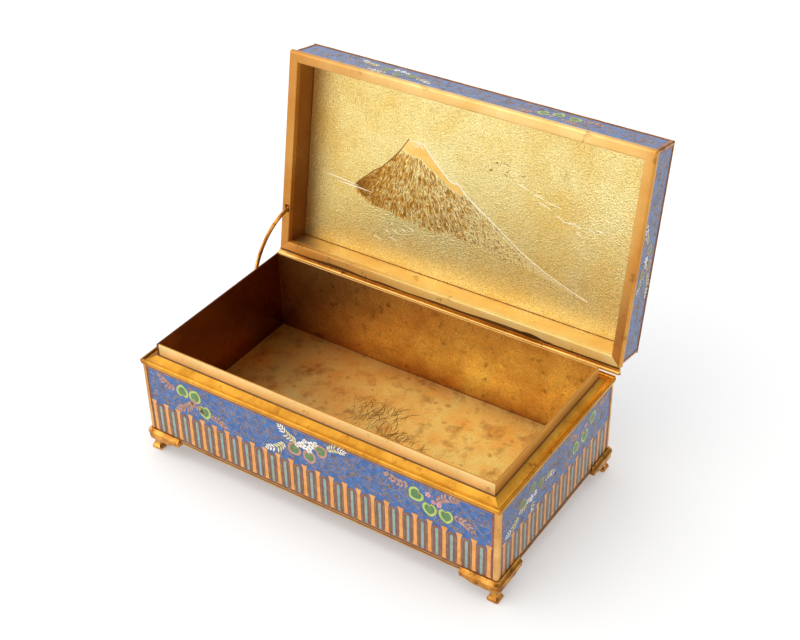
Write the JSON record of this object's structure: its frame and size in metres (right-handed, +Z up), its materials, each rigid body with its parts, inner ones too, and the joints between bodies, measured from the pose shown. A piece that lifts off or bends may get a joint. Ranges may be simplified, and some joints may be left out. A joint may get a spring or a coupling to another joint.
{
  "type": "cloisonne enamel box",
  "caption": "Rectangular enamelled metal box on bracket feet, with a metal tray inside and a hinged lid held open by a curved stay.",
  "frame": {"origin": "on the floor, below the middle of everything that the box covers with its lid open", "axes": "+X to the right along the long front, +Y from the front to the hinged back, +Z up"},
  "size_m": [0.1826, 0.1374, 0.1476],
  "materials": {
    "gilt": "gilt brass, worn satin polish with darker recesses",
    "sheet_brass": "sheet brass with a mottled brown patina",
    "stippled_gilt": "gilt plate, matted with a fine stipple and engraved",
    "enamel": "cloisonne enamel in copper wires, ground flush and polished"
  },
  "bodies": {
    "box": {"bottom_plate": "sheet_brass", "bottom_rail": "gilt", "foot_front_left": "gilt", "foot_front_right": "gilt", "foot_back_left": "gilt", "foot_back_right": "gilt", "post_front_left": "gilt", "post_front_right": "gilt", "post_back_left": "gilt", "post_back_right": "gilt", "plaque_front": "enamel", "plaque_back": "enamel", "plaque_left": "enamel", "plaque_right": "enamel", "ledge_moulding": "gilt", "tray": "sheet_brass", "hinge_box": "gilt", "hinge_pin": "gilt"},
    "lid": {"lid_rim": "gilt", "lid_post_front_left": "gilt", "lid_post_front_right": "gilt", "lid_post_back_left": "gilt", "lid_post_back_right": "gilt", "lid_plaque_front": "enamel", "lid_plaque_back": "enamel", "lid_plaque_left": "enamel", "lid_plaque_right": "enamel", "lid_plaque_top": "enamel", "lid_top_rail": "gilt", "lid_lining": "sheet_brass", "lid_plate": "stippled_gilt", "hinge_lid": "gilt", "stay_pin": "gilt"},
    "stay": {"stay": "gilt"}
  },
  "joints": [
    {"name": "lid_hinge", "type": "hinge", "parent": "box", "child": "lid", "pos_m": [0, 0.0324, 0.04998], "axis": [1, 0, 0], "range_deg": [0, 100.3]},
    {"name": "stay_pivot", "type": "hinge", "parent": "lid", "child": "stay", "pos_m": [-0.0868, 0.03822, 0.07291], "axis": [1, 0, 0], "range_deg": [-31, 0.5]}
  ],
  "couplings": [
    {"joint": "stay_pivot", "follows": "lid_hinge", "ratio": -0.3}
  ]
}
